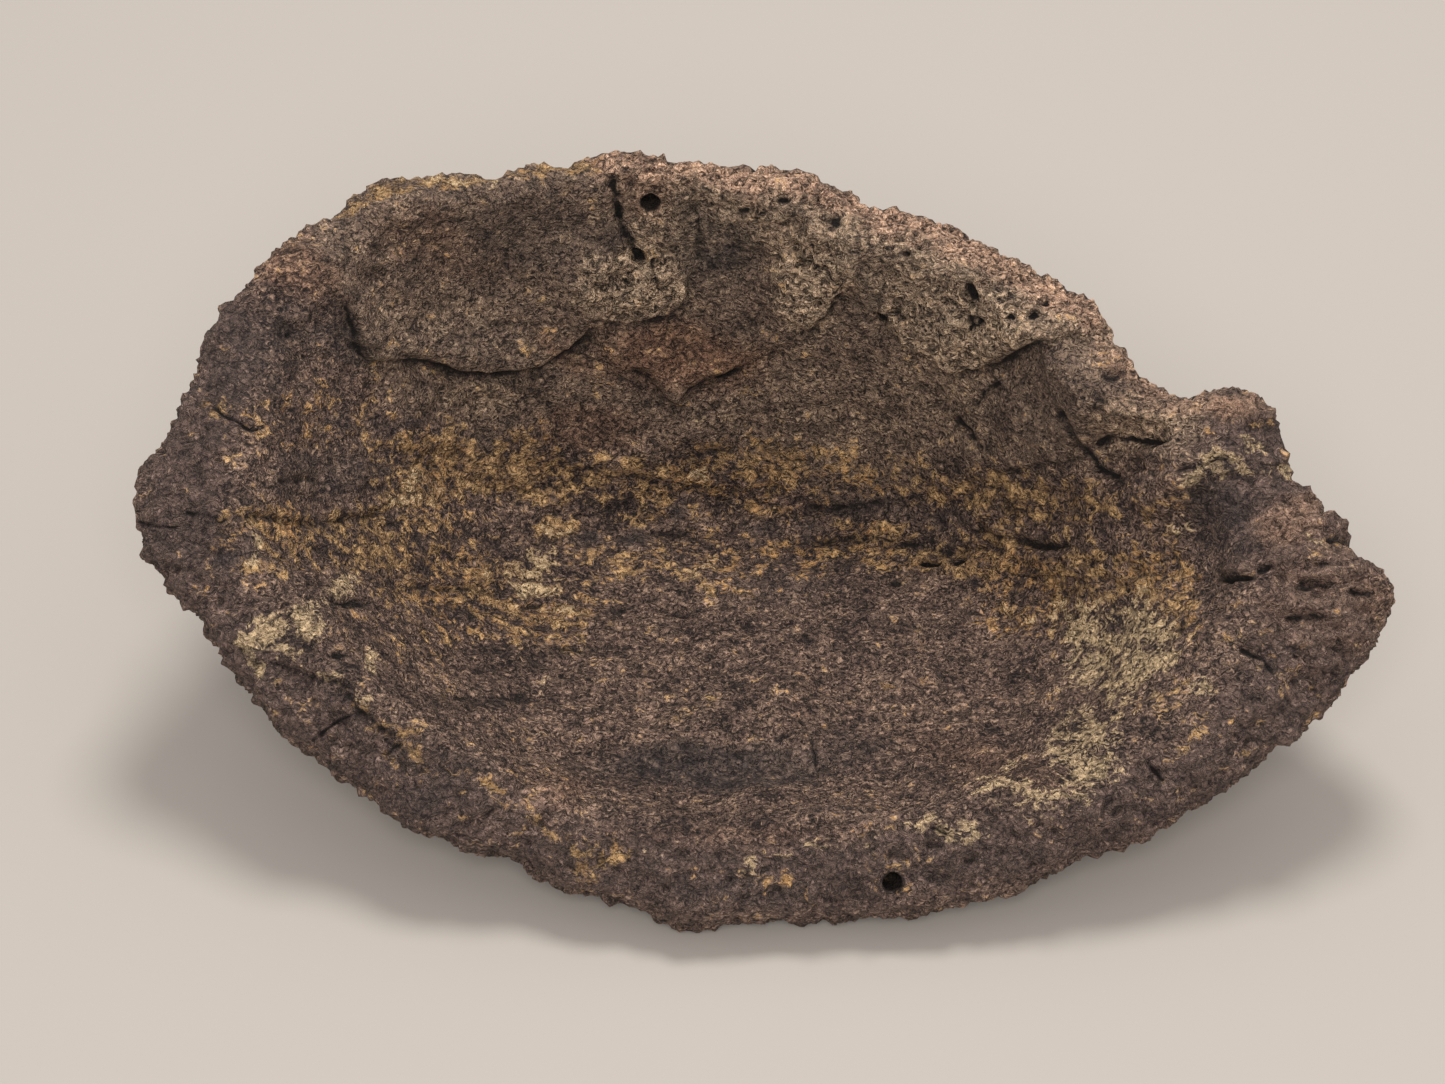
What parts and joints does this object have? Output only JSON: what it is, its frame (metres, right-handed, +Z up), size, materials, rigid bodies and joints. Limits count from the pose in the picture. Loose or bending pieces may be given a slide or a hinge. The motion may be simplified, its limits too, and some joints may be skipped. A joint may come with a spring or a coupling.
{
  "type": "fossil ankylosaur scute",
  "caption": "Oval keeled plate of fossil bone lying on its keel, its deep hollow under side turned up, with a thick rough lip, flaked layers, spongy broken bone and small round holes.",
  "frame": {"origin": "middle of the footprint, on the surface that the scute rests on", "axes": "+X along the keel towards the ribbed lobe, +Y from the near lip to the far rim, +Z up"},
  "size_m": [0.2646, 0.1486, 0.0985],
  "materials": {
    "bone": "dull, rough, porous fossil bone, purple-brown with ochre stains"
  },
  "bodies": {
    "root": {"scute": "bone"}
  },
  "joints": []
}
